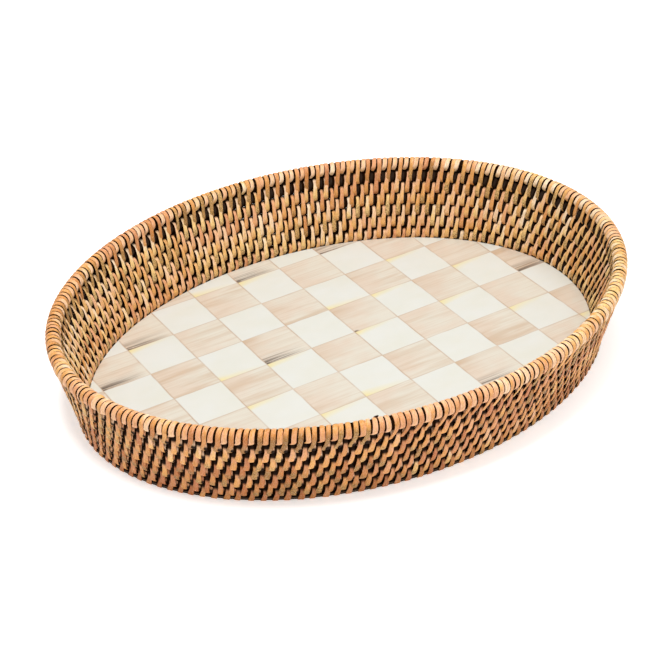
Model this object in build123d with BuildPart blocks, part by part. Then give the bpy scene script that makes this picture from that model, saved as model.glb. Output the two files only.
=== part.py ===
from build123d import *
from math import cos, degrees, hypot, radians, sin, tau
import os

os.makedirs("parts", exist_ok=True)

# ---------------------------------------------------------------- driving dimensions (mm)
# Origin: centre of the resting face. +X runs along the length, +Z up.
tray_length = 508.0        # over the rim lashing
tray_width = 408.0         # over the rim lashing
flare_length = 14.8        # how far the wall leans out at each end, from bottom coil to rim
flare_width = 20.3         # the same at each long side

wall_rows = 6              # coils in the wall, below the rim
row_rise = 10.3            # height from one wall coil to the next
rim_rise = 11.2            # height from the top wall coil to the rim coil
coil_radius = 3.9          # bare rattan rod of a wall coil
rim_coil_radius = 5.4      # bare rattan rod of the rim

strip_width = 4.3          # rattan peel used for lashing
strip_thickness = 0.75
strip_clearance = 0.05     # between a lashing and what it lies on
stitches = 140             # long stitches in one row, with as many short ones between them

board_thickness = 3.2
rebate_depth = 1.1         # step under the board's edge that keeps the lashings off the table
rebate_width = 13.0
slot_play = 0.4            # room round a lashing where it passes through the board

adhesive_thickness = 0.3
panel_thickness = 1.4
panel_gap = 0.4            # between the panel's edge and the lashings
panel_edge_radius = 0.4

joint_gap = 0.3            # between the two ends of a coil
joint_step = 47.0          # degrees round the oval from one coil's joint to the next

tail_angle = -110.0        # where the rim strip's cut end lies round the oval, in degrees
tail_start = 28.0          # degrees round the rim coil from its top to the cut end, on the inside
tail_sweep = 100.0         # degrees of the rim coil that the end covers, down to where it is tucked in

# ---------------------------------------------------------------- worked-out dimensions
strap = strip_clearance + strip_thickness
bottom_height = board_thickness + 2 * strap + coil_radius
rim_height = bottom_height + (wall_rows - 1) * row_rise + rim_rise
rim_half_length = tray_length / 2 - rim_coil_radius - strap
rim_half_width = tray_width / 2 - rim_coil_radius - strap
tail_radius = rim_coil_radius + strap + strip_clearance + strip_thickness / 2


# ---------------------------------------------------------------- geometry of the oval wall
def wall_axes(height):
    """Half length and half width of the coils' centre line at one height."""
    drop = (rim_height - height) / (rim_height - bottom_height)
    return rim_half_length - flare_length * drop, rim_half_width - flare_width * drop


def wall_point(height, angle):
    half_length, half_width = wall_axes(height)
    return Vector(half_length * cos(angle), half_width * sin(angle), height)


def along_wall(angle):
    """Unit vector along the coils, at the middle of the wall."""
    half_length, half_width = wall_axes((bottom_height + rim_height) / 2)
    return Vector(-half_length * sin(angle), half_width * cos(angle), 0).normalized()


def stitch_angles(shift):
    """Angles that space the stitches evenly along the oval; shift is in stitches."""
    steps = 7200
    half_length, half_width = wall_axes((bottom_height + rim_height) / 2)
    run = [0.0]
    for step in range(steps):
        angle = (step + 0.5) * tau / steps
        run.append(run[-1] + hypot(half_length * sin(angle), half_width * cos(angle)))
    angles = []
    step = 0
    for stitch in range(stitches):
        wanted = (stitch + shift) * run[-1] / stitches
        while run[step] < wanted:
            step += 1
        angles.append(step * tau / steps)
    return angles


def row_height(row):
    """Height of a coil's centre line: rows 1 to wall_rows are the wall, the next is the rim."""
    if row > wall_rows:
        return rim_height
    return bottom_height + (row - 1) * row_rise


def row_shift(row):
    """The long stitches of neighbouring rows stand half a stitch apart."""
    return 0.5 * (row % 2)


def wrap_shift(row):
    """The short stitches of a row stand between its long ones, under the long ones of the row above."""
    return row_shift(row + 1)


def row_planes(lower_height, upper_height, shift):
    """Planes across the wall, one per stitch, with local X pointing up the wall."""
    planes = []
    for angle in stitch_angles(shift):
        lower = wall_point(lower_height, angle)
        upper = wall_point(upper_height, angle)
        tangent = along_wall(angle)
        up_wall = upper - lower
        up_wall = up_wall - tangent * up_wall.dot(tangent)
        planes.append(Plane(origin=(lower + upper) / 2, x_dir=up_wall, z_dir=tangent))
    return planes


def coil_spacing(lower_height, upper_height):
    """Mean distance between the centre lines of two neighbouring coils."""
    lower_axes = wall_axes(lower_height)
    upper_axes = wall_axes(upper_height)
    lean = (upper_axes[0] - lower_axes[0] + upper_axes[1] - lower_axes[1]) / 2
    return hypot(upper_height - lower_height, lean)


# ---------------------------------------------------------------- rattan coils
def coil(row, radius):
    """One oval ring of rattan rod, whose two ends meet at a thin joint."""
    half_length, half_width = wall_axes(row_height(row))
    with BuildPart() as ring:
        with BuildLine(Plane.XY.offset(row_height(row))) as path:
            EllipticalCenterArc(
                (0, 0),
                half_length,
                half_width,
                start_angle=joint_step * row,
                arc_size=360 - degrees(joint_gap / half_length),
            )
        with BuildSketch(Plane(origin=path.line @ 0, z_dir=path.line % 0)):
            Circle(radius)
        sweep(path=path.line)
    return ring.part


# ---------------------------------------------------------------- lashings
def two_rod_outline(upper_radius, lower_radius, spacing):
    """The outline of a band pulled tight round two rods."""
    with BuildSketch(mode=Mode.PRIVATE) as outline:
        with Locations((spacing / 2, 0)):
            Circle(upper_radius)
        with Locations((-spacing / 2, 0)):
            Circle(lower_radius)
        make_hull()
    return outline.sketch


def two_rod_stitch(upper_radius, lower_radius, spacing):
    """A flat strip that holds one coil down on the coil below it."""
    with BuildPart() as stitch:
        with BuildSketch(Plane.XY):
            add(two_rod_outline(upper_radius + strap, lower_radius + strap, spacing))
            inner = two_rod_outline(upper_radius + strip_clearance, lower_radius + strip_clearance, spacing)
            add(inner, mode=Mode.SUBTRACT)
        extrude(amount=strip_width / 2, both=True)
    return stitch.part


def one_rod_stitch(radius):
    """A flat strip that goes once round one coil."""
    with BuildPart() as stitch:
        with BuildSketch(Plane.XY):
            Circle(radius + strap)
            Circle(radius + strip_clearance, mode=Mode.SUBTRACT)
        extrude(amount=strip_width / 2, both=True)
    return stitch.part


def board_stitch():
    """A flat strip that goes over the bottom coil and through the board below it."""
    inner_radius = coil_radius + strip_clearance
    outer_radius = coil_radius + strap
    inner_floor = rebate_depth - strip_clearance - bottom_height
    outer_floor = inner_floor - strip_thickness
    with BuildPart() as stitch:
        with BuildSketch(Plane.XY):
            Circle(outer_radius)
            with Locations((outer_floor / 2, 0)):
                Rectangle(-outer_floor, 2 * outer_radius)
            Circle(inner_radius, mode=Mode.SUBTRACT)
            with Locations((inner_floor / 2, 0)):
                Rectangle(-inner_floor, 2 * inner_radius, mode=Mode.SUBTRACT)
        extrude(amount=strip_width / 2, both=True)
    return stitch.part


def stitched_row(stitch, planes):
    """Every stitch of one row, as separate solids."""
    with BuildPart() as row:
        with Locations(*planes):
            add(stitch)
    return row.part


def tie_row(row, upper_radius):
    """The long stitches, which tie a coil to the coil below it and lie over that coil's short ones."""
    lower = row_height(row - 1)
    upper = row_height(row)
    stitch = two_rod_stitch(upper_radius, coil_radius + strap, coil_spacing(lower, upper))
    return stitched_row(stitch, row_planes(lower, upper, row_shift(row)))


def wrap_row(row, radius):
    """The short stitches, which go round one coil only."""
    height = row_height(row)
    planes = []
    for angle in stitch_angles(wrap_shift(row)):
        centre = wall_point(height, angle)
        planes.append(Plane(origin=centre, x_dir=(0, 0, 1), z_dir=along_wall(angle)))
    return stitched_row(one_rod_stitch(radius), planes)


# ---------------------------------------------------------------- board and panel
half_length, half_width = wall_axes(bottom_height)
board_planes = []
for angle in stitch_angles(row_shift(1)):
    centre = wall_point(bottom_height, angle)
    board_planes.append(Plane(origin=centre, x_dir=(0, 0, 1), z_dir=along_wall(angle)))

slot_offset = coil_radius + strip_clearance + strip_thickness / 2
slot_planes = []
for angle in stitch_angles(row_shift(1)):
    tangent = along_wall(angle)
    inward = Vector(0, 0, 1).cross(tangent)
    above_table = Vector(0, 0, bottom_height)
    centre = wall_point(bottom_height, angle) - above_table + inward * slot_offset
    slot_planes.append(Plane(origin=centre, x_dir=tangent, z_dir=(0, 0, 1)))

with BuildPart() as base_board:
    with BuildSketch(Plane.XY):
        Ellipse(half_length + coil_radius, half_width + coil_radius)
    extrude(amount=board_thickness)
    with BuildSketch(Plane.XY):
        Ellipse(half_length + 2 * coil_radius, half_width + 2 * coil_radius)
        Ellipse(
            half_length + coil_radius - rebate_width,
            half_width + coil_radius - rebate_width,
            mode=Mode.SUBTRACT,
        )
    extrude(amount=rebate_depth, mode=Mode.SUBTRACT)
    with BuildSketch(*slot_planes):
        Rectangle(strip_width + slot_play, strip_thickness + slot_play)
    extrude(amount=board_thickness, mode=Mode.SUBTRACT)
base_board.part.label = "base_board"
export_step(base_board.part, "parts/base_board.step")

panel_inset = coil_radius + strap + panel_gap
with BuildPart() as panel_adhesive:
    with BuildSketch(Plane.XY.offset(board_thickness)):
        Ellipse(half_length - panel_inset - 6, half_width - panel_inset - 6)
    extrude(amount=adhesive_thickness)
panel_adhesive.part.label = "panel_adhesive"
export_step(panel_adhesive.part, "parts/panel_adhesive.step")

with BuildPart() as check_panel:
    with BuildSketch(Plane.XY.offset(board_thickness + adhesive_thickness)):
        Ellipse(half_length - panel_inset, half_width - panel_inset)
    extrude(amount=panel_thickness)
    fillet(check_panel.edges().group_by(Axis.Z)[-1], radius=panel_edge_radius)
check_panel.part.label = "check_panel"
export_step(check_panel.part, "parts/check_panel.step")

# ---------------------------------------------------------------- wall and rim
for row in range(1, wall_rows + 1):
    ring = coil(row, coil_radius)
    ring.label = f"wall_coil_{row}"
    export_step(ring, f"parts/{ring.label}.step")

rim_coil = coil(wall_rows + 1, rim_coil_radius)
rim_coil.label = "rim_coil"
export_step(rim_coil, "parts/rim_coil.step")

board_binding = stitched_row(board_stitch(), board_planes)
board_binding.label = "board_binding"
export_step(board_binding, "parts/board_binding.step")

for row in range(2, wall_rows + 1):
    binding = tie_row(row, coil_radius)
    binding.label = f"wall_binding_{row}"
    export_step(binding, f"parts/{binding.label}.step")

for row in range(1, wall_rows + 1):
    wrap = wrap_row(row, coil_radius)
    wrap.label = f"wall_wrap_{row}"
    export_step(wrap, f"parts/{wrap.label}.step")

rim_binding = tie_row(wall_rows + 1, rim_coil_radius)
rim_binding.label = "rim_binding"
export_step(rim_binding, "parts/rim_binding.step")

rim_wrap = wrap_row(wall_rows + 1, rim_coil_radius)
rim_wrap.label = "rim_wrap"
export_step(rim_wrap, "parts/rim_wrap.step")

# The last turn of the rim's strip lies over the other lashings, and ends near the top on the inside.
tail_direction = radians(tail_angle)
tail_plane = Plane(
    origin=wall_point(rim_height, tail_direction),
    x_dir=(0, 0, 1),
    z_dir=along_wall(tail_direction),
)
with BuildPart() as strip_tail:
    with BuildSketch(tail_plane):
        with BuildLine():
            CenterArc((0, 0), tail_radius, -tail_start, -tail_sweep)
        trace(line_width=strip_thickness)
    extrude(amount=strip_width / 2, both=True)
strip_tail.part.label = "strip_tail"
export_step(strip_tail.part, "parts/strip_tail.step")
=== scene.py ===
from math import atan2, cos, pi, radians, sin

import bpy
import numpy as np
from mathutils import Matrix, Vector


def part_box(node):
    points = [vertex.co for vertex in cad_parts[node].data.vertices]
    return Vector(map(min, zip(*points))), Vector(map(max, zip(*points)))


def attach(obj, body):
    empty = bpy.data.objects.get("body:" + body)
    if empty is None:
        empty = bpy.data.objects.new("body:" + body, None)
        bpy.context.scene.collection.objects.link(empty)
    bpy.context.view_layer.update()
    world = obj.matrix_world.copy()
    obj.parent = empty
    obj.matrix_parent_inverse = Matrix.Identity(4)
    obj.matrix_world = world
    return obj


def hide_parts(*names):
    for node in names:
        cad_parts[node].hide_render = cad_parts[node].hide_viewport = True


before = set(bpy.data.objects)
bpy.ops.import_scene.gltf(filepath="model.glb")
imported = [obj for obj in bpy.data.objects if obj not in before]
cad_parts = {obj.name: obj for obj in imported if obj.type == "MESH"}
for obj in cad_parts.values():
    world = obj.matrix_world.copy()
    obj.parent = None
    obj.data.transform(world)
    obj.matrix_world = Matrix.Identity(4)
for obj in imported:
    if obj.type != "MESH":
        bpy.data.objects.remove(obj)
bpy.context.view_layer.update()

MM = 0.001

# ---------------------------------------------------------------- dimensions
WALL_ROWS = 6                     # counted from the bottom, from 1
RIM = WALL_ROWS + 1               # the rim's row
STITCHES = 140                    # long stitches in one row, as in the CAD groups
OVAL_STEPS = 7200                 # of the table that spaces the stitches evenly
STRIP_WIDTH = 4.4 * MM
STRIP_THICKNESS = 0.75 * MM
CLEARANCE = 0.05 * MM             # between a strip and what it lies on
HALF_STRIP = STRIP_THICKNESS / 2 + CLEARANCE      # from a rod's surface to the middle of a strip on it
LIFT = STRIP_THICKNESS + CLEARANCE                # of a strip that lies on another one
ROD_PRESS = 1.42                  # how much taller than wide a wall rod is, pressed between its neighbours
RIM_PRESS = 1.25                  # the same for the lower half of the rim rod
STRIP_PRESS = 1.18                # the same for the strips round the wall rods
CHECK_SIZE = 44.0 * MM
CHECK_OFFSET = (-0.6 * MM, -3.2 * MM)             # of the middle of a check from the tray's centre
STRIP_SEED, ROD_SEED = 7, 47      # the row's number is added to them
UP = np.array([0, 0, 1.0])


def coil_node(row):
    return "rim_coil" if row == RIM else f"wall_coil_{row}"


def coil_size(node):
    """(half length, half width, height) of a coil's centre line, and the radius of its rod."""
    low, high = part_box(node)
    radius = (high.z - low.z) / 2
    middle = (high + low) / 2
    return high.x - middle.x - radius, high.y - middle.y - radius, middle.z, radius


COILS = {row: coil_size(coil_node(row)) for row in range(1, RIM + 1)}
PANEL_LOW, PANEL_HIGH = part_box("check_panel")
LASHING_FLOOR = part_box("board_binding")[0].z


# ---------------------------------------------------------------- the oval
def even_angles():
    """Table that turns a distance along the oval, in stitches, into an angle."""
    half_length = (COILS[1][0] + COILS[RIM][0]) / 2
    half_width = (COILS[1][1] + COILS[RIM][1]) / 2
    angle = np.linspace(0, 2 * pi, OVAL_STEPS + 1)
    middle = (angle[1:] + angle[:-1]) / 2
    step = np.hypot(half_length * np.sin(middle), half_width * np.cos(middle))
    run = np.concatenate([[0], np.cumsum(step)])
    return run / run[-1] * STITCHES, angle


RUN, ANGLE = even_angles()


def unit(vectors):
    return vectors / np.linalg.norm(vectors, axis=-1, keepdims=True)


def oval(row, place):
    """Points on a coil's centre line, with the outward and along directions, at places in stitches."""
    half_length, half_width, height, _ = COILS[row]
    angle = np.interp(np.mod(place, STITCHES), RUN, ANGLE)
    zero = np.zeros_like(angle)
    points = np.stack([half_length * np.cos(angle), half_width * np.sin(angle), zero + height], -1)
    along = np.stack([-half_length * np.sin(angle), half_width * np.cos(angle), zero], -1)
    along = unit(along)
    outward = np.stack([along[..., 1], -along[..., 0], zero], -1)
    return points, outward, along


# ---------------------------------------------------------------- meshes
def new_piece(name, vertices, faces, material, replaced):
    """A mesh that rides on the tray in place of CAD nodes. vertices: an array; faces: lists."""
    mesh = bpy.data.meshes.new(name)
    mesh.from_pydata(vertices.tolist(), [], faces)
    mesh.validate()
    mesh.update()
    mesh.shade_smooth()
    piece = bpy.data.objects.new(name, mesh)
    bpy.context.scene.collection.objects.link(piece)
    mesh.materials.append(material)
    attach(piece, "root")
    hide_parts(*replaced)
    return piece


def add_attribute(piece, name, values):
    """A number or a vector for each point, which the material reads."""
    kind = "FLOAT_VECTOR" if values.ndim == 2 else "FLOAT"
    field = "vector" if values.ndim == 2 else "value"
    attribute = piece.data.attributes.new(name, kind, "POINT")
    attribute.data.foreach_set(field, np.ascontiguousarray(values, dtype=np.float32).ravel())


def add_fibre(piece, across, along, strand):
    """Where each point lies in its strip or rod, in mm: across it and along it. The third value keeps
    one strand apart from another."""
    shape = (len(along), len(across))
    columns = (across, along[:, None], strand)
    fibre = np.stack([np.broadcast_to(column, shape) for column in columns], -1)
    add_attribute(piece, "fibre", fibre.reshape(-1, 3))


def tube_faces(rings, sides, closed=True):
    """Quads of a tube made of rings, each with this many sides."""
    last = rings if closed else rings - 1
    ring = np.arange(last)[:, None]
    side = np.arange(sides)[None, :]
    next_ring = (ring + 1) % rings
    next_side = (side + 1) % sides
    corners = [
        ring * sides + side,
        ring * sides + next_side,
        next_ring * sides + next_side,
        next_ring * sides + side,
    ]
    return np.stack(corners, -1).reshape(-1, 4).tolist()


# ---------------------------------------------------------------- materials
class Nodes:
    """Short calls for building a node tree."""

    def __init__(self, name):
        self.material = bpy.data.materials.new(name)
        self.material.use_nodes = True
        self.tree = self.material.node_tree
        self.tree.nodes.clear()
        self.output = self.tree.nodes.new("ShaderNodeOutputMaterial")
        self.shader = self.tree.nodes.new("ShaderNodeBsdfPrincipled")
        self.tree.links.new(self.shader.outputs[0], self.output.inputs["Surface"])

    def add(self, kind, **settings):
        node = self.tree.nodes.new("ShaderNode" + kind)
        for key, value in settings.items():
            setattr(node, key, value)
        return node

    def put(self, socket, value):
        if isinstance(value, bpy.types.NodeSocket):
            self.tree.links.new(value, socket)
        elif hasattr(socket.default_value, "__len__") and not hasattr(value, "__len__"):
            socket.default_value = [value] * len(socket.default_value)
        elif hasattr(value, "__len__") and len(value) == 3 and len(socket.default_value) == 4:
            socket.default_value = (*value, 1)
        else:
            socket.default_value = value

    def math(self, operation, a, b=0.0, c=0.0, clamp=False):
        node = self.add("Math", operation=operation, use_clamp=clamp)
        for socket, value in zip(node.inputs, (a, b, c)):
            self.put(socket, value)
        return node.outputs[0]

    def mix(self, factor, a, b, blend="MIX"):
        node = self.add("Mix", data_type="RGBA", blend_type=blend)
        self.put(node.inputs["Factor"], factor)
        self.put(node.inputs[6], a)
        self.put(node.inputs[7], b)
        return node.outputs[2]

    def ramp(self, factor, *stops):
        node = self.add("ValToRGB")
        ramp = node.color_ramp
        for place, colour in stops[2:]:
            ramp.elements.new(place)
        for element, (place, colour) in zip(ramp.elements, sorted(stops, key=lambda s: s[0])):
            element.position = place
            element.color = (*colour, 1) if hasattr(colour, "__len__") else (colour, colour, colour, 1)
        self.put(node.inputs[0], factor)
        return node.outputs[0]

    def noise(self, vector, scale, detail=2.0, roughness=0.5, distortion=0.0):
        node = self.add("TexNoise", noise_dimensions="3D")
        self.put(node.inputs["Vector"], vector)
        self.put(node.inputs["Scale"], scale)
        self.put(node.inputs["Detail"], detail)
        self.put(node.inputs["Roughness"], roughness)
        self.put(node.inputs["Distortion"], distortion)
        return node.outputs[0]

    def white(self, vector):
        node = self.add("TexWhiteNoise", noise_dimensions="3D")
        self.put(node.inputs["Vector"], vector)
        return node.outputs["Value"], node.outputs["Color"]

    def stretch(self, vector, x, y, z):
        node = self.add("VectorMath", operation="MULTIPLY")
        self.put(node.inputs[0], vector)
        node.inputs[1].default_value = (x, y, z)
        return node.outputs[0]

    def join(self, x, y, z=0.0):
        node = self.add("CombineXYZ")
        for socket, value in zip(node.inputs, (x, y, z)):
            self.put(socket, value)
        return node.outputs[0]

    def split(self, vector):
        node = self.add("SeparateXYZ")
        self.put(node.inputs[0], vector)
        return node.outputs

    def place(self):
        return self.add("TexCoord").outputs["Object"]

    def attribute(self, name, output="Fac"):
        return self.add("Attribute", attribute_name=name).outputs[output]

    def bump(self, height, strength, distance, normal=None):
        node = self.add("Bump")
        self.put(node.inputs["Height"], height)
        node.inputs["Strength"].default_value = strength
        node.inputs["Distance"].default_value = distance
        if normal is not None:
            self.put(node.inputs["Normal"], normal)
        return node.outputs[0]

    def finish(self, colour, roughness, normal=None, **constants):
        self.put(self.shader.inputs["Base Color"], colour)
        self.put(self.shader.inputs["Roughness"], roughness)
        if normal is not None:
            self.put(self.shader.inputs["Normal"], normal)
        for name, value in constants.items():
            self.put(self.shader.inputs[name.replace("_", " ")], value)
        return self.material


def linear(*screen):
    """Linear red, green and blue of a colour given as 0-255 screen values."""
    return tuple(c / 255 / 12.92 if c <= 10 else ((c / 255 + 0.055) / 1.055) ** 2.4 for c in screen)


# Colours of the panel's paint.
PAINT = {
    "ivory": linear(208, 208, 201),
    "ivory shade": linear(206, 205, 194),
    "greige": linear(206, 200, 186),
    "rose": linear(205, 190, 173),
    "tan": linear(184, 156, 126),
    "yellow": linear(217, 201, 136),
    "grey": linear(78, 68, 60),
    "join": linear(176, 148, 122),
}


def peel_material():
    """Rattan peel: pink, amber or golden tan, fine grain along the strip, painted shade where tucked in."""
    n = Nodes("rattan_peel")
    fibre = n.attribute("fibre", "Vector")
    tone = n.attribute("tone")
    hue = n.attribute("hue")
    stain = n.attribute("stain")
    edge = n.math("ABSOLUTE", n.split(fibre)[0])
    grain = n.noise(n.stretch(fibre, 5.0, 0.30, 1.0), 1.0, 4.0, 0.6)
    fine = n.noise(n.stretch(fibre, 11.0, 0.5, 1.0), 1.0, 3.0, 0.65)
    patch = n.noise(n.stretch(fibre, 0.5, 0.12, 1.0), 1.0, 3.0, 0.6)
    mottle = n.noise(n.stretch(fibre, 1.3, 0.8, 1.0), 1.0, 4.0, 0.7)
    speck = n.noise(n.stretch(fibre, 2.6, 1.1, 1.0), 1.0, 3.0, 0.7)
    # three kinds of peel, each from dark to light with the tone
    pink = n.ramp(tone, (0.0, linear(190, 108, 64)), (0.4, linear(230, 160, 114)),
                  (0.7, linear(248, 198, 158)), (1.0, linear(255, 230, 200)))
    amber = n.ramp(tone, (0.0, linear(186, 106, 42)), (0.5, linear(234, 166, 86)),
                   (1.0, linear(252, 212, 136)))
    golden = n.ramp(tone, (0.0, linear(160, 110, 44)), (0.5, linear(218, 172, 98)),
                    (1.0, linear(246, 212, 142)))
    golden = n.mix(n.ramp(mottle, (0.46, 0.0), (0.56, 0.9)), golden, linear(112, 72, 20))
    patchy = n.math("MULTIPLY", n.math("SUBTRACT", patch, 0.5), 1.6)
    warmth = n.math("ADD", n.math("MULTIPLY", hue, 1.1), patchy)
    colour = n.mix(n.ramp(warmth, (0.15, 0.0), (0.55, 1.0)), pink, amber)
    colour = n.mix(n.ramp(edge, (0.5, 0.35), (1.9, 0.0)), colour, amber)
    colour = n.mix(n.ramp(hue, (0.60, 0.0), (0.80, 1.0)), colour, golden)
    # grain, light fibres, specks, worn edges and painted shade
    colour = n.mix(n.ramp(grain, (0.34, 0.65), (0.54, 0.0)), colour, linear(150, 86, 38))
    colour = n.mix(n.ramp(fine, (0.52, 0.0), (0.68, 0.6)), colour, linear(255, 232, 196))
    colour = n.mix(n.ramp(speck, (0.68, 0.0), (0.76, 0.75)), colour, linear(92, 52, 20))
    colour = n.mix(n.ramp(edge, (1.8, 0.0), (2.3, 0.55)), colour, linear(104, 60, 26))
    # painted shade: near black where the strip is tucked in between coils, and on the hidden short stitches
    colour = n.mix(stain, colour, linear(30, 15, 6))
    height = n.math("ADD", n.math("MULTIPLY", grain, 0.6), n.math("MULTIPLY", fine, 0.4))
    normal = n.bump(height, 0.6, 0.22 * MM)
    rough = n.math("ADD", n.ramp(grain, (0.3, 0.55), (0.7, 0.38)), n.math("MULTIPLY", stain, 0.4))
    return n.finish(colour, rough, normal, Specular_IOR_Level=0.16)


def rod_material():
    """Rattan rod, dark brown and near black, with pores along its length."""
    n = Nodes("rattan_core")
    fibre = n.attribute("fibre", "Vector")
    grain = n.noise(n.stretch(fibre, 6.0, 0.12, 6.0), 1.0, 4.0, 0.6)
    patch = n.noise(n.stretch(fibre, 0.5, 0.03, 0.5), 1.0, 2.0)
    colour = n.ramp(grain, (0.3, linear(16, 8, 3)), (0.55, linear(32, 17, 7)),
                    (0.8, linear(60, 35, 16)))
    colour = n.mix(n.ramp(patch, (0.4, 0.0), (0.7, 0.5)), colour, linear(34, 18, 8))
    normal = n.bump(grain, 0.6, 0.2 * MM)
    return n.finish(colour, 0.9, normal, Specular_IOR_Level=0.0)


def panel_material():
    """Satin paint: ivory and greige checks with soft brush marks along X, and thin joins."""
    n = Nodes("check_panel_paint")
    place = n.place()
    x, y, _ = n.split(place)
    x = n.math("SUBTRACT", x, CHECK_OFFSET[0])
    y = n.math("SUBTRACT", y, CHECK_OFFSET[1])
    wobble = n.noise(place, 45.0, 2.0)
    shift = n.math("MULTIPLY", n.math("SUBTRACT", wobble, 0.5), 0.03)
    column = n.math("ADD", n.math("ADD", n.math("DIVIDE", x, CHECK_SIZE), 0.5), shift)
    row = n.math("ADD", n.math("ADD", n.math("DIVIDE", y, CHECK_SIZE), 0.5), shift)
    column_cell = n.math("FLOOR", column)
    row_cell = n.math("FLOOR", row)
    u = n.math("SUBTRACT", column, column_cell)
    v = n.math("SUBTRACT", row, row_cell)
    odd = n.math("MODULO", n.math("ABSOLUTE", n.math("ADD", column_cell, row_cell)), 2.0)
    chance, chances = n.white(n.join(column_cell, row_cell))
    chance_a, chance_b, chance_c = n.split(chances)

    def brush(across_scale, along_scale, offset, detail):
        """Brush marks along X, different in every check."""
        along = n.math("MULTIPLY", x, along_scale)
        across = n.math("MULTIPLY", y, across_scale)
        return n.noise(n.join(along, across, n.math("MULTIPLY", chance, offset)), 1.0, detail, 0.6)

    def stroke(from_edge):
        """A ragged stroke along an edge of a check, thick at the left."""
        share = n.math("MULTIPLY", n.math("DIVIDE", from_edge, taper), ragged)
        return n.ramp(share, (0.25, 1.0), (1.0, 0.0))

    streak = brush(620.0, 11.0, 40.0, 3.0)
    broad = brush(110.0, 12.0, 60.0, 2.0)
    wash = brush(40.0, 26.0, 90.0, 2.0)
    leftward = n.math("ADD", wash, n.math("MULTIPLY", n.math("SUBTRACT", 0.5, u), 0.35))
    greige = n.mix(n.ramp(leftward, (0.36, 0.0), (0.66, 1.0)), PAINT["greige"], PAINT["rose"])
    patch = n.ramp(broad, (0.50, 0.0), (0.66, 0.55))
    patch = n.math("MULTIPLY", patch, n.ramp(chance_c, (0.2, 1.0), (0.6, 0.3)))
    greige = n.mix(patch, greige, PAINT["tan"])
    # more paint at the upper left, where the brush was set down
    loaded = n.math("MULTIPLY", n.ramp(u, (0.0, 0.8), (0.5, 0.0)), n.ramp(v, (0.45, 0.0), (0.9, 1.0)))
    loaded = n.math("MULTIPLY", loaded, n.ramp(chance_a, (0.25, 0.1), (0.9, 1.0)))
    loaded = n.math("MULTIPLY", loaded, n.ramp(broad, (0.3, 0.25), (0.6, 1.0)))
    greige = n.mix(loaded, greige, PAINT["tan"])
    greige = n.mix(n.ramp(streak, (0.46, 0.0), (0.72, 0.3)), greige, PAINT["tan"])
    ivory = n.mix(n.ramp(wash, (0.35, 0.0), (0.7, 1.0)), PAINT["ivory"], PAINT["ivory shade"])
    # yellow stroke along one edge of some ivory checks, fading to the right
    taper = n.math("ADD", 0.09, n.math("MULTIPLY", n.math("SUBTRACT", 1.0, u), 0.12))
    ragged = n.math("ADD", n.math("MULTIPLY", broad, 1.2), 0.4)
    low_stroke = n.math("MULTIPLY", stroke(v), n.math("LESS_THAN", chance_b, 0.22))
    top_stroke = stroke(n.math("SUBTRACT", 1.0, v))
    top_stroke = n.math("MULTIPLY", top_stroke, n.math("GREATER_THAN", chance_b, 0.60))
    fade = n.ramp(u, (0.04, 0.8), (0.16, 0.55), (0.5, 0.3), (0.95, 0.0))
    yellow = n.math("MULTIPLY", n.math("ADD", low_stroke, top_stroke, clamp=True), fade)
    ivory = n.mix(yellow, ivory, PAINT["yellow"])
    # grey smudge at the lower left corner of a few greige checks
    smudge = n.ramp(u, (0.0, 1.0), (0.4, 0.8), (0.95, 0.0))
    smudge = n.math("MULTIPLY", smudge, n.ramp(v, (0.06, 1.0), (0.34, 0.0)))
    smudge = n.math("MULTIPLY", smudge, n.ramp(streak, (0.44, 0.1), (0.54, 1.0)))
    smudge = n.math("MULTIPLY", smudge, n.ramp(chance_a, (0.66, 0.0), (0.76, 1.0)))
    greige = n.mix(smudge, greige, PAINT["grey"])
    # dark touch of the brush where such a check's stroke begins
    corner = n.math("MULTIPLY", n.ramp(u, (0.05, 1.0), (0.12, 0.0)), n.ramp(v, (0.025, 1.0), (0.06, 0.0)))
    corner = n.math("MULTIPLY", corner, n.math("GREATER_THAN", chance_a, 0.62))
    greige = n.mix(corner, greige, PAINT["grey"])
    colour = n.mix(odd, greige, ivory)
    # joins between checks
    edge_u = n.math("MINIMUM", u, n.math("SUBTRACT", 1.0, u))
    edge_v = n.math("MINIMUM", v, n.math("SUBTRACT", 1.0, v))
    line_u = n.ramp(edge_u, (0.004, 0.85), (0.020, 0.0))
    line_v = n.ramp(edge_v, (0.002, 0.75), (0.016, 0.0))
    line = n.math("MULTIPLY", n.math("MAXIMUM", line_u, line_v), n.ramp(wobble, (0.35, 0.45), (0.6, 1.0)))
    colour = n.mix(line, colour, PAINT["join"])
    normal = n.bump(n.math("ADD", streak, n.math("MULTIPLY", line, -0.8)), 0.22, 0.12 * MM)
    rough = n.ramp(streak, (0.3, 0.36), (0.7, 0.46))
    return n.finish(colour, rough, normal, Coat_Weight=0.1, Coat_Roughness=0.25)


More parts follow.
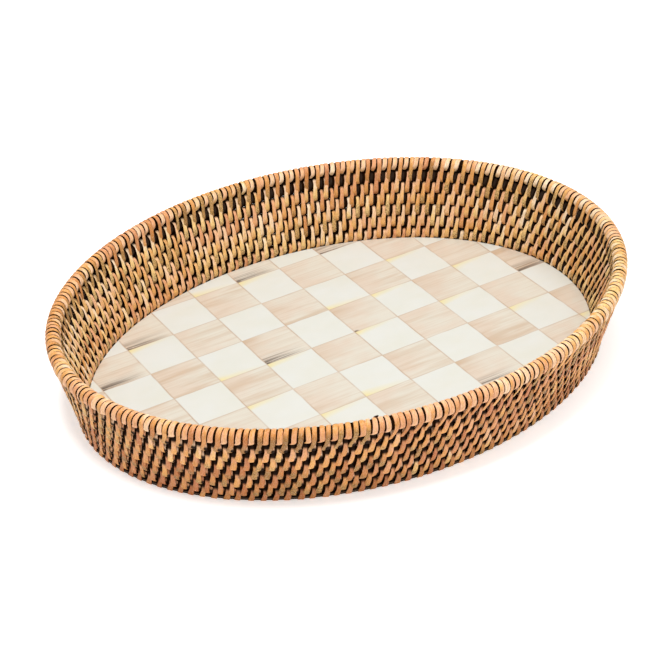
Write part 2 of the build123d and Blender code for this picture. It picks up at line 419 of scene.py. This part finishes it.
def board_material():
    """Plywood: grain along X on the faces, thin plies on the edge, and painted shade, near black, on all but
    the underside.
    """
    n = Nodes("plywood")
    place = n.place()
    wave = n.noise(n.stretch(place, 2.5, 26.0, 1.0), 1.0, 4.0, 0.6, 0.6)
    pore = n.noise(n.stretch(place, 60.0, 900.0, 1.0), 1.0, 2.0, 0.7)
    colour = n.ramp(wave, (0.3, linear(120, 84, 52)), (0.5, linear(146, 106, 68)),
                    (0.72, linear(166, 126, 84)))
    colour = n.mix(n.ramp(pore, (0.58, 0.0), (0.7, 0.5)), colour, linear(80, 52, 30))
    _, _, z = n.split(place)
    ply = n.math("GREATER_THAN", n.math("FRACT", n.math("DIVIDE", z, 1.15 * MM)), 0.5)
    # painted shade: every face but the underside darkened nearly to black, the thin plies showing faintly
    facing = n.split(n.add("NewGeometry").outputs["Normal"])[2]
    side = n.math("GREATER_THAN", facing, -0.5)
    dark = n.math("MULTIPLY", side, n.math("ADD", 0.8, n.math("MULTIPLY", ply, 0.15)))
    colour = n.mix(dark, colour, linear(26, 15, 8))
    normal = n.bump(n.math("ADD", wave, pore), 0.2, 0.15 * MM)
    return n.finish(colour, n.ramp(wave, (0.3, 0.6), (0.7, 0.5)), normal, Specular_IOR_Level=0.3)


def glue_material():
    """Dried adhesive: cream, slightly uneven."""
    n = Nodes("adhesive")
    cloud = n.noise(n.place(), 60.0, 3.0)
    colour = n.ramp(cloud, (0.3, linear(206, 194, 160)), (0.7, linear(226, 216, 186)))
    return n.finish(colour, 0.5, n.bump(cloud, 0.2, 0.1 * MM))


def floor_material():
    """Pale studio floor, with a glow of its own that keeps the shadows soft and light."""
    n = Nodes("studio_floor")
    cloud = n.noise(n.place(), 3.0, 2.0)
    colour = n.ramp(cloud, (0.3, 0.86), (0.7, 0.88))
    return n.finish(colour, 0.9, Specular_IOR_Level=0.1, Emission_Color=(1, 1, 1, 1), Emission_Strength=0.51)


# ---------------------------------------------------------------- lashings
def smooth(value):
    """From 0 to 1 without a corner."""
    value = np.clip(value, 0, 1)
    return value * value * (3 - 2 * value)


# The four parts of a stitch, in the order in which the strip runs through them: down the outer face
# of the wall, under the lower coil or the board, up the inner face, and over the coil.
OUTER, UNDER, INNER, OVER = range(4)

# Steps of one stitch on each part. A long stitch is a tie, or a board stitch in the lowest row; a wrap
# is a short stitch, round one coil only.
STEPS = {"tie": (9, 9, 8, 8), "wrap": (4, 6, 3, 7), "board": (7, 10, 7, 8)}

# Where the strip lies along the wall at the start of each part, in stitches from the stitch's place.
# The strip works its way clockwise, seen from above.
TRAVEL = {
    "wall": (0.07, -0.13, -0.25, -0.42),
    "rim_tie": (0.14, -0.27, -0.04, -0.22),
    "rim_wrap": (0.15, -0.05, -0.02, -0.20),
}

# Share of the full strip width at the start of each part: a strip is squeezed where it goes in
# between two coils. The wall's strips are widest at the foot of a face.
WIDTH = {
    "wall": (0.76, 1.12, 1.02, 0.72),
    "rim_tie": (0.88, 0.70, 0.86, 0.84),
    "rim_wrap": (1.03, 0.98, 0.95, 0.92),
}

TURN_POWER = 1.8                                  # how suddenly a strip turns aside at the foot of a face
WRAP_FACE = radians(35)                           # how far a short stitch goes down each face
BOARD_CORNER = 0.9 * MM                           # bend of a strip at the board's edge
CORNER_SHARE = 0.27                               # share of each bend in the way under the board

# Unevenness, drawn for the outer and for the inner face of each stitch.
PLACE_SPREAD, RIM_PLACE_SPREAD = 0.038, 0.052     # along the wall, in stitches
WIDTH_RANGE = (0.87, 1.05)                        # share of the width
BULGE_RANGE = (0.0, 0.5)                          # off the wall, in mm
TILT_SPREAD = radians(6)                          # about the strip's own length
SLANT_SPREAD = 0.045                              # from top to bottom, in stitches
BOARD_TILT = 0.3                                  # share of the tilt left to a strip under the board

# Painted shade: how dark a hidden short stitch is painted and how dark a strip where it is tucked in between
# two coils, and the degrees turned from the nearer face at which this painted shade begins, and over which it
# deepens.
HIDDEN_SHADE = 0.99
TUCKED_SHADE = 0.95
SHADE_UNDER = (60, 20)
SHADE_OVER = (54, 22)

# Colour: the tone goes from dark to light, the hue from pink over amber to golden. The inner face is
# painted lighter and the outer one darker, as painted light and shade; the foot of a face is more golden than
# its top.
# painted light and shade: tone added on the inner face and taken off on the outer one
LIGHT_BY_FACE, RIM_LIGHT_BY_FACE, RIM_TONE = 0.2, 0.13, 0.02
HUE_BY_DESCENT, RIM_HUE_BY_DESCENT = 0.5, 0.24
WRAP_TONE, RIM_TIE_TONE = 0.25, -0.12             # added for these stitches
WRAP_HUE = 0.4                                    # share of the hue left to a short stitch
RIM_TIE_HUE = 0.28                                # added for the rim's long stitches
HUE_RUN = 18                                      # stitches from one length of strip to the next
HUE_RANGE = 0.5                                   # between lengths
HUE_BASE, HUE_SPREAD = 0.14, 0.12                 # added for each stitch: mean and spread
TONE_SPREAD = 0.13                                # between stitches
WANDER_TONE = 0.22                                # slow change of tone along the strip
WANDER_SPREAD, WANDER_SPEED = 0.12, 2.2
STRAND_STEP = 17.3                                # keeps the grain of one strip apart from the next


def course_of(kind, row):
    """Which row of TRAVEL and WIDTH a stitch follows."""
    return "wall" if row < RIM else f"rim_{kind}"


def stitch_steps(kind):
    """(part, how far through that part) for each step of a stitch."""
    steps = [(part, step / count) for part, count in enumerate(STEPS[kind]) for step in range(count)]
    part, fraction = np.array(steps).T
    return part.astype(int), fraction


def between(part, fraction, starts, following):
    """Straight-line values between the starts of the four parts and the start of the next stitch."""
    knots = np.array([*starts, following])
    return knots[part] + (knots[part + 1] - knots[part]) * fraction


def turning(part, fraction):
    """A strip turns aside mostly at the foot of the outer face and just after it."""
    late = fraction ** TURN_POWER
    early = 1 - (1 - fraction) ** TURN_POWER
    return np.select([part == OUTER, part == UNDER], [late, early], fraction)


def wall_lean(row, where):
    """How far a coil stands out from, and above, the coil below it."""
    low, outward, _ = oval(row - 1, where)
    high, _, _ = oval(row, where)
    gap = high - low
    return np.sum(gap * outward, -1), gap[:, 2]


def tangent_angles(row, where, low_radius, high_radius):
    """(outer, inner, lean, rise): the directions in which a taut strip leaves two coils on the outer
    and on the inner face, and how far the upper coil stands out and up from the lower one."""
    if row == 1:
        return np.zeros_like(where), np.full_like(where, pi), 0.0, 0.0
    lean, rise = wall_lean(row, where)
    axis = np.arctan2(rise, lean)
    opening = np.arccos(np.clip((low_radius - high_radius) / np.hypot(lean, rise), -1, 1))
    return axis - opening, axis + opening, lean, rise


def pressed(out, up, lean, rise, press):
    """Stretches a round section up the wall, into the dips between the coils."""
    length = np.hypot(lean, rise)
    along_wall = (out * lean + up * rise) / length * (press - 1) / length
    return out + along_wall * lean, up + along_wall * rise


def tie_profile(row, where, part, fraction):
    """(outward, up, normal outward, normal up) of a strip round a coil and the coil below it."""
    low_radius = COILS[row - 1][3] + HALF_STRIP + LIFT
    high_radius = COILS[row][3] + HALF_STRIP
    outer, inner, lean, rise = tangent_angles(row, where, low_radius, high_radius)
    faces = [part == OUTER, part == UNDER, part == INNER]
    angle = np.select(
        faces,
        [outer, outer - fraction * (2 * pi - (inner - outer)), inner],
        inner - fraction * (inner - outer))
    centre = np.select(faces, [1 - fraction, 0 * fraction, fraction], 1.0)
    radius = low_radius + (high_radius - low_radius) * centre
    press = 1 + (STRIP_PRESS - 1) * centre if row < RIM else 1.0
    out, up = pressed(radius * np.cos(angle), radius * np.sin(angle), lean, rise, press)
    return lean * centre + out, rise * centre + up, np.cos(angle), np.sin(angle)


def wrap_profile(row, where, part, fraction):
    """The same for a strip round one coil."""
    radius = COILS[row][3] + HALF_STRIP
    low_radius = COILS[max(row - 1, 1)][3] + HALF_STRIP + LIFT
    outer, inner, _, _ = tangent_angles(row, where, low_radius, radius)
    under = 2 * pi - (inner - outer) - 2 * WRAP_FACE
    outer_foot = outer - WRAP_FACE
    inner_foot = outer_foot - under
    angle = np.select(
        [part == OUTER, part == UNDER, part == INNER],
        [outer - fraction * WRAP_FACE, outer_foot - fraction * under, inner_foot - fraction * WRAP_FACE],
        inner - fraction * (inner - outer))
    lean, rise = wall_lean(max(row, 2), where)
    press = STRIP_PRESS if row < RIM else 1.0
    out, up = pressed(radius * np.cos(angle), radius * np.sin(angle), lean, rise, press)
    return out, up, np.cos(angle), np.sin(angle)


def board_profile(row, where, part, fraction):
    """The same for the lowest lashing: over coil 1, and flat under the board's edge."""
    radius = COILS[1][3] + HALF_STRIP
    bend_height = COILS[1][2] - LASHING_FLOOR - STRIP_THICKNESS / 2 - BOARD_CORNER
    flat_radius = radius - BOARD_CORNER
    turn = np.clip(fraction / CORNER_SHARE, 0, 1) * pi / 2
    back = np.clip((fraction - 1 + CORNER_SHARE) / CORNER_SHARE, 0, 1) * pi / 2
    flat = np.clip((fraction - CORNER_SHARE) / (1 - 2 * CORNER_SHARE), 0, 1) * 2 * flat_radius
    over = pi * (1 - fraction)
    faces = [part == OUTER, part == UNDER, part == INNER]
    out = np.select(
        faces,
        [radius, flat_radius + BOARD_CORNER * (np.cos(turn) - np.sin(back)) - flat, -radius],
        radius * np.cos(over))
    up = np.select(
        faces,
        [-fraction * bend_height, -bend_height - BOARD_CORNER * (np.sin(turn) - 1 + np.cos(back)),
         -bend_height * (1 - fraction)],
        radius * np.sin(over))
    normal_out = np.select(faces, [1.0, np.cos(turn) - np.sin(back), -1.0], np.cos(over))
    normal_up = np.select(faces, [0.0, -np.sin(turn) * np.cos(back), 0.0], np.sin(over))
    return out, up, normal_out, normal_up


PROFILES = {"tie": tie_profile, "wrap": wrap_profile, "board": board_profile}

# Cross-section of a strip: flat below, gently crowned above, as (share of width, share of thickness).
SECTION = np.array([
    (-0.46, -0.5), (-0.5, -0.16), (-0.43, 0.16), (-0.24, 0.40), (0.0, 0.5),
    (0.24, 0.40), (0.43, 0.16), (0.5, -0.16), (0.46, -0.5),
])


def stain_of(kind, row, part, fraction):
    """Painted shade: dark where a strip is tucked in between two coils, and on a hidden short stitch."""
    if kind == "wrap" and row < RIM:
        return np.full_like(fraction, HIDDEN_SHADE)
    turned = np.minimum(fraction, 1 - fraction) * 180         # degrees from the nearer face
    under = smooth((turned - SHADE_UNDER[0]) / SHADE_UNDER[1])
    over = smooth((turned - SHADE_OVER[0]) / SHADE_OVER[1]) if row < RIM else 0 * turned
    return TUCKED_SHADE * np.select([part == UNDER, part == OVER], [under, over], 0.0)


def evened(values, trend=0.0):
    """Rounds off the corners of a closed run of values; trend is its change from step to step."""
    rest = values - np.arange(len(values)) * trend
    return sum(np.roll(rest, k) * w for k, w in zip((-2, -1, 0, 1, 2), (1, 2, 3, 2, 1))) / 9 + (values - rest)


def unevenness(random, stitches):
    """Random changes of every stitch, on its outer and on its inner face."""
    size = (len(stitches), 2)
    spread = RIM_PLACE_SPREAD if stitches[0][1] == RIM else PLACE_SPREAD
    return {
        "shift": random.normal(0, spread, size),
        "width": random.uniform(*WIDTH_RANGE, size),
        "bulge": random.uniform(*BULGE_RANGE, size) * MM,
        "tilt": random.normal(0, TILT_SPREAD, size),
        "slant": random.normal(0, SLANT_SPREAD, size),
    }


def stitch_tones(random, stitches):
    """(tone, hue) of each stitch: slow changes along the strip, and a chance of its own."""
    count = len(stitches)
    wander = np.cumsum(random.normal(0, WANDER_SPREAD, count))
    wander -= np.linspace(0, wander[-1], count)
    tone = 0.5 + WANDER_TONE * np.sin(wander * WANDER_SPEED) + random.normal(0, TONE_SPREAD, count)
    lengths = random.uniform(0, 1, count // HUE_RUN + 2)
    hue = np.repeat(lengths, HUE_RUN)[:count] * HUE_RANGE + random.normal(HUE_BASE, HUE_SPREAD, count)
    wraps = np.array([kind == "wrap" for kind, _, _ in stitches])
    at_rim = stitches[0][1] == RIM
    tone = np.where(wraps, tone + WRAP_TONE, tone + (RIM_TIE_TONE if at_rim else 0.0))
    hue = np.where(wraps, hue * WRAP_HUE, hue + (RIM_TIE_HUE if at_rim else 0.0))
    return np.clip(tone, 0, 1), np.clip(hue, 0, 1)


def stitch_values(stitches, index, jitter, tones, hues):
    """What the strip does at each step of one stitch, as named columns."""
    kind, row, place = stitches[index]
    after = (index + 1) % len(stitches)
    next_kind = stitches[after][0]
    part, fraction = stitch_steps(kind)
    eased = smooth(fraction)
    here_outer = np.select([part == OUTER, part == UNDER], [1.0, 1 - eased], 0.0)
    here_inner = np.select([part == UNDER, part == INNER, part == OVER], [eased, 1.0, 1 - eased], 0.0)
    next_outer = np.where(part == OVER, eased, 0.0)

    def blend(name):
        values = jitter[name]
        here = here_outer * values[index, 0] + here_inner * values[index, 1]
        return here + next_outer * values[after, 0]

    def own(values):
        return (here_outer + here_inner) * values[index] + next_outer * values[after]

    on_face = part % 2 == 0
    course = course_of(kind, row)
    next_course = course_of(next_kind, row)
    where = place + between(part, turning(part, fraction), TRAVEL[course], TRAVEL[next_course][0] - 0.5)
    where = where + blend("shift") + np.where(on_face, fraction - 0.5, 0) * blend("slant")
    width = between(part, fraction, WIDTH[course], WIDTH[next_course][0]) * blend("width")
    side = 2 * here_inner - 1                     # -1 on the outer face, 1 on the inner one
    descent = np.select([part == OUTER, part == UNDER, part == INNER], [fraction, 1.0, 1 - fraction], 0.0)
    # painted light: the inner face lighter, the outer face darker
    if row < RIM:
        light_and_tone_change = LIGHT_BY_FACE * side
        hue_change = HUE_BY_DESCENT * (descent - 0.5)
    else:
        light_and_tone_change = RIM_LIGHT_BY_FACE * side + RIM_TONE
        hue_change = RIM_HUE_BY_DESCENT * (descent - 0.5)
    return {
        "kind": np.full(len(part), kind),
        "part": part,
        "fraction": fraction,
        "where": where,
        "width": width,
        "bulge": blend("bulge") * np.where(on_face, np.sin(pi * fraction), 0),
        "tilt": blend("tilt") * (BOARD_TILT if kind == "board" else 1.0),
        # painted shade where the strip is tucked in between coils
        "stain": stain_of(kind, row, part, fraction),
        "tone": own(tones) + light_and_tone_change,
        "hue": own(hues) + hue_change,
    }


def lay(row, strip):
    """(points, normals) of the middle of a strip round its row."""
    where = strip["where"]
    base, outward, _ = oval(row, where)
    lower_base = oval(max(row - 1, 1), where)[0]
    profile = np.zeros((4, len(where)))           # outward, up, normal outward, normal up
    for kind, profile_of in PROFILES.items():
        chosen = strip["kind"] == kind
        if chosen.any():
            step = strip["part"][chosen], strip["fraction"][chosen]
            profile[:, chosen] = profile_of(row, where[chosen], *step)
            if kind == "tie":
                base[chosen] = lower_base[chosen]
    out, up, normal_out, normal_up = profile[:, :, None]
    normals = unit(outward * normal_out + UP * normal_up)
    points = base + outward * out + UP * up + normals * strip["bulge"][:, None]
    return points, normals


def strip_vertices(points, across, normals, width):
    """The strip's cross-section at every point."""
    sideways = across[:, None, :] * (width[:, None] * SECTION[:, 0])[:, :, None]
    outwards = normals[:, None, :] * (STRIP_THICKNESS * SECTION[:, 1])[None, :, None]
    return (points[:, None, :] + sideways + outwards).reshape(-1, 3)


def run_along(points):
    """Distance along a row of points, in mm."""
    steps = np.linalg.norm(np.diff(points, axis=0), axis=-1)
    return np.concatenate([[0], np.cumsum(steps)]) / MM


def colour_strip(piece, run, strand, **values):
    """Gives a strip's points what the peel material reads."""
    add_fibre(piece, SECTION[:, 0] * STRIP_WIDTH / MM, run, strand)
    for label, value in values.items():
        add_attribute(piece, label, np.repeat(value, len(SECTION)))


def ribbon(name, stitches, replaced, material, seed):
    """One long strip that spirals round a row. stitches: list of (kind, row, place)."""
    random = np.random.default_rng(seed)
    jitter = unevenness(random, stitches)
    tones, hues = stitch_tones(random, stitches)
    values = [stitch_values(stitches, index, jitter, tones, hues) for index in range(len(stitches))]
    strip = {label: np.concatenate([stitch[label] for stitch in values]) for label in values[0]}
    strip["where"] = evened(strip["where"], -STITCHES / len(strip["where"]))
    strip["width"] = evened(strip["width"])
    points, normals = lay(stitches[0][1], strip)
    ahead = unit(np.roll(points, -1, 0) - np.roll(points, 1, 0))
    normals = unit(normals - ahead * np.sum(normals * ahead, -1, keepdims=True))
    across = np.cross(ahead, normals)
    tilt = strip["tilt"][:, None]
    leaned = normals * np.cos(tilt) + across * np.sin(tilt)
    across = across * np.cos(tilt) - normals * np.sin(tilt)
    vertices = strip_vertices(points, across, leaned, strip["width"] * STRIP_WIDTH)
    faces = tube_faces(len(points), len(SECTION))
    piece = new_piece(name, vertices, faces, material, replaced)
    colour_strip(piece, run_along(points), seed * STRAND_STEP,
                 stain=strip["stain"], tone=strip["tone"], hue=strip["hue"])


def row_stitches(row):
    """A long stitch, then a short one round the coil only, all the way round the row."""
    shift = 0.5 * (row % 2)
    long_kind = "board" if row == 1 else "tie"
    result = []
    for stitch in range(STITCHES):
        result.append((long_kind, row, shift - stitch))
        result.append(("wrap", row, shift - stitch - 0.5))
    return result


# The cut end of the rim's strip. Its angles go round the rim rod, from outward over the top.
END_TOP, END_FOOT = radians(116), radians(218)
END_STEPS = 22
END_ASIDE = 0.22                  # how far it moves along the rim on its way, in stitches
END_LIFT = 0.5 * MM               # of the loose tip
END_TUCK = 0.3 * MM               # how much closer the foot lies
END_WIDTH_CUT, END_WIDTH_GROWTH = 0.4, 0.5        # share of the width at the cut, and what it gains
END_STRAND = 3.7
END_TONE, END_HUE = 0.6, 0.2
TIP_STAIN, TIP_DARK, TIP_FADE = 0.97, 1.6, 1.6    # dark for so many mm, then fading over so many
# painted shade at the foot of the end, where it tucks in
FOOT_SHADE, FOOT_FADE = 0.9, 3.0


def strip_end(material):
    """The cut end of the rim's strip, over the other lashings on the inside of the rim."""
    low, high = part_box("strip_tail")
    middle = (low + high) / 2
    half_length, half_width, _, radius = COILS[RIM]
    angle = atan2(middle.y / half_width, middle.x / half_length) % (2 * pi)
    place = float(np.interp(angle, ANGLE, RUN))
    fraction = np.arange(END_STEPS) / (END_STEPS - 1)
    centre, outward, _ = oval(RIM, place + END_ASIDE * (1 - fraction))
    turn = (END_TOP + (END_FOOT - END_TOP) * fraction)[:, None]
    normals = outward * np.cos(turn) + UP * np.sin(turn)
    lift = HALF_STRIP + LIFT + END_LIFT * (1 - fraction) ** 4 - END_TUCK * fraction
    points = centre + normals * (radius + lift)[:, None]
    across = np.cross(unit(np.gradient(points, axis=0)), normals)
    width = STRIP_WIDTH * (END_WIDTH_CUT + END_WIDTH_GROWTH * np.sqrt(np.minimum(fraction * 6, 1)))
    sides = len(SECTION)
    caps = [list(range(sides - 1, -1, -1)), list(range((END_STEPS - 1) * sides, END_STEPS * sides))]
    faces = tube_faces(END_STEPS, sides, closed=False) + caps
    vertices = strip_vertices(points, across, normals, width)
    piece = new_piece("rim_strip_end", vertices, faces, material, ["strip_tail"])
    run = run_along(points)
    dark_tip = TIP_STAIN * smooth((TIP_DARK + TIP_FADE - run) / TIP_FADE)
    # painted shade, darkening towards the foot where the end tucks in
    shaded_foot = FOOT_SHADE * smooth((run - run[-1] + FOOT_FADE) / FOOT_FADE)
    colour_strip(piece, run, END_STRAND, stain=np.maximum(dark_tip, shaded_foot),
                 tone=np.full(END_STEPS, END_TONE), hue=np.full(END_STEPS, END_HUE))


# ---------------------------------------------------------------- coils
ROD_RINGS, ROD_SIDES = 420, 14
ROD_WAVES = (5, 9, 14, 23)        # waves of unevenness round the oval
ROD_SIZE, ROD_UNEVEN = 0.985, 0.0048              # share of the CAD radius, and of each wave
ROD_GRAIN = 10.0                  # mm of grain to a stitch
ROD_STRAND_STEP = 20


def rod(name, row, material, seed):
    """A coil: a slightly uneven rod, pressed between its neighbours."""
    random = np.random.default_rng(seed)
    place = np.arange(ROD_RINGS) / ROD_RINGS * STITCHES
    centre, outward, _ = oval(row, place)
    radius = COILS[row][3]
    turn = np.arange(ROD_SIDES) / ROD_SIDES * 2 * pi
    press = np.where(np.sin(turn) < 0, RIM_PRESS, 1.0) if row == RIM else np.full(ROD_SIDES, ROD_PRESS)
    phases = random.uniform(0, 2 * pi, len(ROD_WAVES))
    round_oval = place / STITCHES * 2 * pi
    uneven = sum(np.sin(round_oval * waves + phase) for waves, phase in zip(ROD_WAVES, phases))
    size = radius * (ROD_SIZE + ROD_UNEVEN * uneven)
    lean, rise = wall_lean(max(row, 2), place)
    out, up = pressed(np.cos(turn)[None, :], np.sin(turn)[None, :], lean[:, None], rise[:, None], press)
    ring = (outward[:, None, :] * out[:, :, None] + UP * up[:, :, None]) * size[:, None, None]
    vertices = (centre[:, None, :] + ring).reshape(-1, 3)
    faces = [face[::-1] for face in tube_faces(ROD_RINGS, ROD_SIDES)]
    piece = new_piece(name, vertices, faces, material, [coil_node(row)])
    across = np.cos(turn) * radius / MM
    strand = np.sin(turn) * radius / MM + seed * ROD_STRAND_STEP
    add_fibre(piece, across, place * ROD_GRAIN, strand)


# ---------------------------------------------------------------- floor panel
PANEL_SIDES = 256
PANEL_EDGE = 0.4 * MM             # radius of the softened upper edge
EDGE_STEPS = 4
TOP_SHARES = (0.16, 0.34, 0.52, 0.68, 0.82, 0.92)        # rings of the faces, as shares of the panel's size
BOTTOM_SHARES = (0.92, 0.6, 0.3)


def floor_panel(material):
    """The painted panel: flat, with a softly rounded edge."""
    half_length = PANEL_HIGH.x
    half_width = PANEL_HIGH.y
    top = PANEL_HIGH.z
    bottom = PANEL_LOW.z
    rings = [(share * half_length, share * half_width, top) for share in TOP_SHARES]
    for step in range(EDGE_STEPS + 1):
        bend = step / EDGE_STEPS * pi / 2
        inset = PANEL_EDGE - PANEL_EDGE * sin(bend)
        rings.append((half_length - inset, half_width - inset, top - PANEL_EDGE + PANEL_EDGE * cos(bend)))
    rings.append((half_length, half_width, bottom))
    rings += [(share * half_length, share * half_width, bottom) for share in BOTTOM_SHARES]
    turns = [side / PANEL_SIDES * 2 * pi for side in range(PANEL_SIDES)]
    vertices = [[0, 0, top]]
    for length, width, height in rings:
        vertices += [[length * cos(turn), width * sin(turn), height] for turn in turns]
    vertices.append([0, 0, bottom])
    last = len(vertices) - 1
    last_ring = 1 + (len(rings) - 1) * PANEL_SIDES
    faces = []
    for side in range(PANEL_SIDES):
        after = (side + 1) % PANEL_SIDES
        faces.append([0, 1 + side, 1 + after])
        for ring in range(len(rings) - 1):
            here = 1 + ring * PANEL_SIDES
            below = here + PANEL_SIDES
            faces.append([here + side, below + side, below + after, here + after])
        faces.append([last_ring + side, last, last_ring + after])
    new_piece("floor_panel", np.array(vertices), faces, material, ["check_panel"])


# ---------------------------------------------------------------- camera, light, floor
FLOOR_REACH = 6.0                 # half the floor's side
SURROUND = 0.40                   # strength of the white surround
LIGHTS = (                        # name, place, diameter, power in watts
    ("key", (-0.42, -0.30, 1.85), 0.4, 20),
    ("top", (0.25, -0.1, 1.3), 1.3, 11),
    ("fill", (1.2, -1.4, 1.4), 1.2, 2),
)


def aim(item, place, target, roll=0.0):
    """Points a camera or a light from a place at a target."""
    back = (Vector(place) - Vector(target)).normalized()
    right = Vector((0, 0, 1)).cross(back).normalized()
    up = back.cross(right)
    turned_right = right * cos(roll) + up * sin(roll)
    turned_up = up * cos(roll) - right * sin(roll)
    item.matrix_world = Matrix((
        (turned_right.x, turned_up.x, back.x, place[0]),
        (turned_right.y, turned_up.y, back.y, place[1]),
        (turned_right.z, turned_up.z, back.z, place[2]),
        (0, 0, 0, 1),
    ))


CAMERA_AZIMUTH, CAMERA_ELEVATION, CAMERA_ROLL = radians(-29.86), radians(32.97), radians(-2.88)
CAMERA_DISTANCE = 1.506
CAMERA_TARGET = Vector((0.0085, 0.0315, 0))
CAMERA_LENS = 92.8                # mm, on a sensor 36 mm wide


def camera():
    """A long lens, from the front left and above."""
    azimuth, elevation = CAMERA_AZIMUTH, CAMERA_ELEVATION
    back = Vector((sin(azimuth) * cos(elevation), -cos(azimuth) * cos(elevation), sin(elevation)))
    data = bpy.data.cameras.new("camera")
    data.lens = CAMERA_LENS
    data.sensor_width = 36
    item = bpy.data.objects.new("camera", data)
    bpy.context.scene.collection.objects.link(item)
    aim(item, CAMERA_TARGET + back * CAMERA_DISTANCE, CAMERA_TARGET, CAMERA_ROLL)
    bpy.context.scene.camera = item


def soft_box(name, place, size, power):
    """A round area light that looks at the middle of the tray."""
    data = bpy.data.lights.new(name, "AREA")
    data.shape = "DISK"
    data.size = size
    data.energy = power
    item = bpy.data.objects.new(name, data)
    bpy.context.scene.collection.objects.link(item)
    aim(item, place, (0, 0, 0))


def studio():
    """A pale floor, an even white surround and three soft lights."""
    mesh = bpy.data.meshes.new("studio_floor")
    corners = [(-1, -1), (1, -1), (1, 1), (-1, 1)]
    mesh.from_pydata([(FLOOR_REACH * x, FLOOR_REACH * y, 0) for x, y in corners], [], [(0, 1, 2, 3)])
    item = bpy.data.objects.new("studio_floor", mesh)
    bpy.context.scene.collection.objects.link(item)
    mesh.materials.append(floor_material())
    world = bpy.data.worlds.new("studio")
    bpy.context.scene.world = world
    world.use_nodes = True
    background = world.node_tree.nodes["Background"]
    background.inputs["Color"].default_value = (1, 1, 1, 1)
    background.inputs["Strength"].default_value = SURROUND
    for name, place, size, power in LIGHTS:
        soft_box(name, place, size, power)
    bpy.context.scene.view_settings.view_transform = "Standard"


def build():
    """Every piece of the tray."""
    peel = peel_material()
    core = rod_material()
    board = board_material()
    glue = glue_material()
    for node, material in (("base_board", board), ("panel_adhesive", glue)):
        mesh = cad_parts[node].data
        mesh.materials.clear()
        mesh.materials.append(material)
    floor_panel(panel_material())
    for row in range(1, RIM + 1):
        name = "rim_rod" if row == RIM else f"wall_rod_{row}"
        rod(name, row, core, ROD_SEED + row)
    nodes = {1: ["board_binding", "wall_wrap_1"], RIM: ["rim_binding", "rim_wrap"]}
    names = {1: "board_lashing", RIM: "rim_lashing"}
    for row in range(1, RIM + 1):
        name = names.get(row, f"wall_lashing_{row}")
        replaced = nodes.get(row, [f"wall_binding_{row}", f"wall_wrap_{row}"])
        ribbon(name, row_stitches(row), replaced, peel, STRIP_SEED + row)
    strip_end(peel)


camera()
studio()
build()
